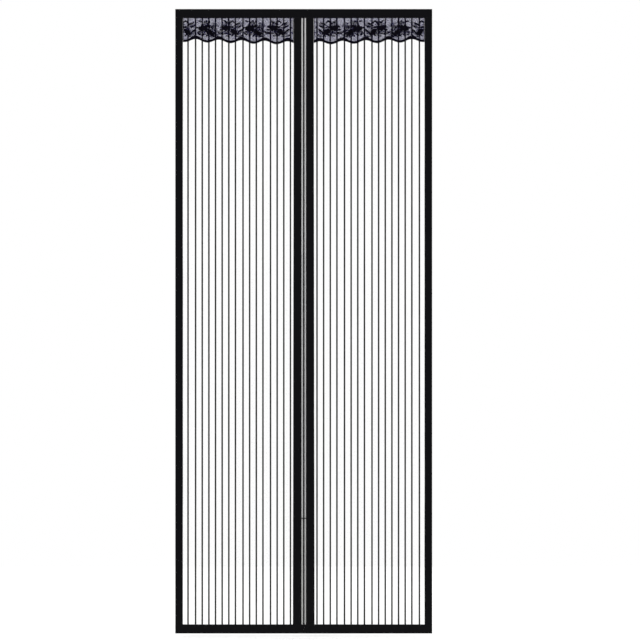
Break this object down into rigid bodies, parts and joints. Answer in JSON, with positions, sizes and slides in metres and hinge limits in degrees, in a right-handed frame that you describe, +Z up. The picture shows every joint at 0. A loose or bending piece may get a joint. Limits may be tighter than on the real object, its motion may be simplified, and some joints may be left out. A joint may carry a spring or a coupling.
{
  "type": "magnetic insect screen",
  "caption": "Two striped sheer net panels under one top binding, with lace valances and closing edges that magnet strips hold together.",
  "frame": {"origin": "middle of the back face of the top loop strip, which lies against the lintel", "axes": "+X across the doorway to the viewer's right, +Y backwards into the wall, +Z up"},
  "size_m": [0.905, 0.0053, 2.2],
  "materials": {
    "binding_tape": "black woven polyester tape, matt",
    "net": "sheer white polyester net with woven black stripes",
    "sleeve": "sheer grey polyester sleeve",
    "magnet_strip": "flexible magnet strip, matt grey",
    "lace": "black lace with raised flowers, leaves and a corded edge",
    "loop_strip": "black brushed loop pile",
    "weight": "plain flat steel bar"
  },
  "bodies": {
    "root": {"top_binding": "binding_tape", "top_loop_strip": "loop_strip", "left_net": "net", "left_side_binding": "binding_tape", "left_bottom_binding": "binding_tape", "left_closing_tape": "binding_tape", "left_edging": "binding_tape", "left_magnet_sleeve": "sleeve", "left_magnet_upper": "magnet_strip", "left_magnet_middle": "magnet_strip", "left_magnet_lower": "magnet_strip", "left_valance": "lace", "left_hem_weight": "weight", "left_loop_strip": "loop_strip", "right_net": "net", "right_side_binding": "binding_tape", "right_bottom_binding": "binding_tape", "right_closing_tape": "binding_tape", "right_edging": "binding_tape", "right_magnet_sleeve": "sleeve", "right_magnet_upper": "magnet_strip", "right_magnet_middle": "magnet_strip", "right_magnet_lower": "magnet_strip", "right_valance": "lace", "right_hem_weight": "weight", "right_loop_strip": "loop_strip"}
  },
  "joints": []
}
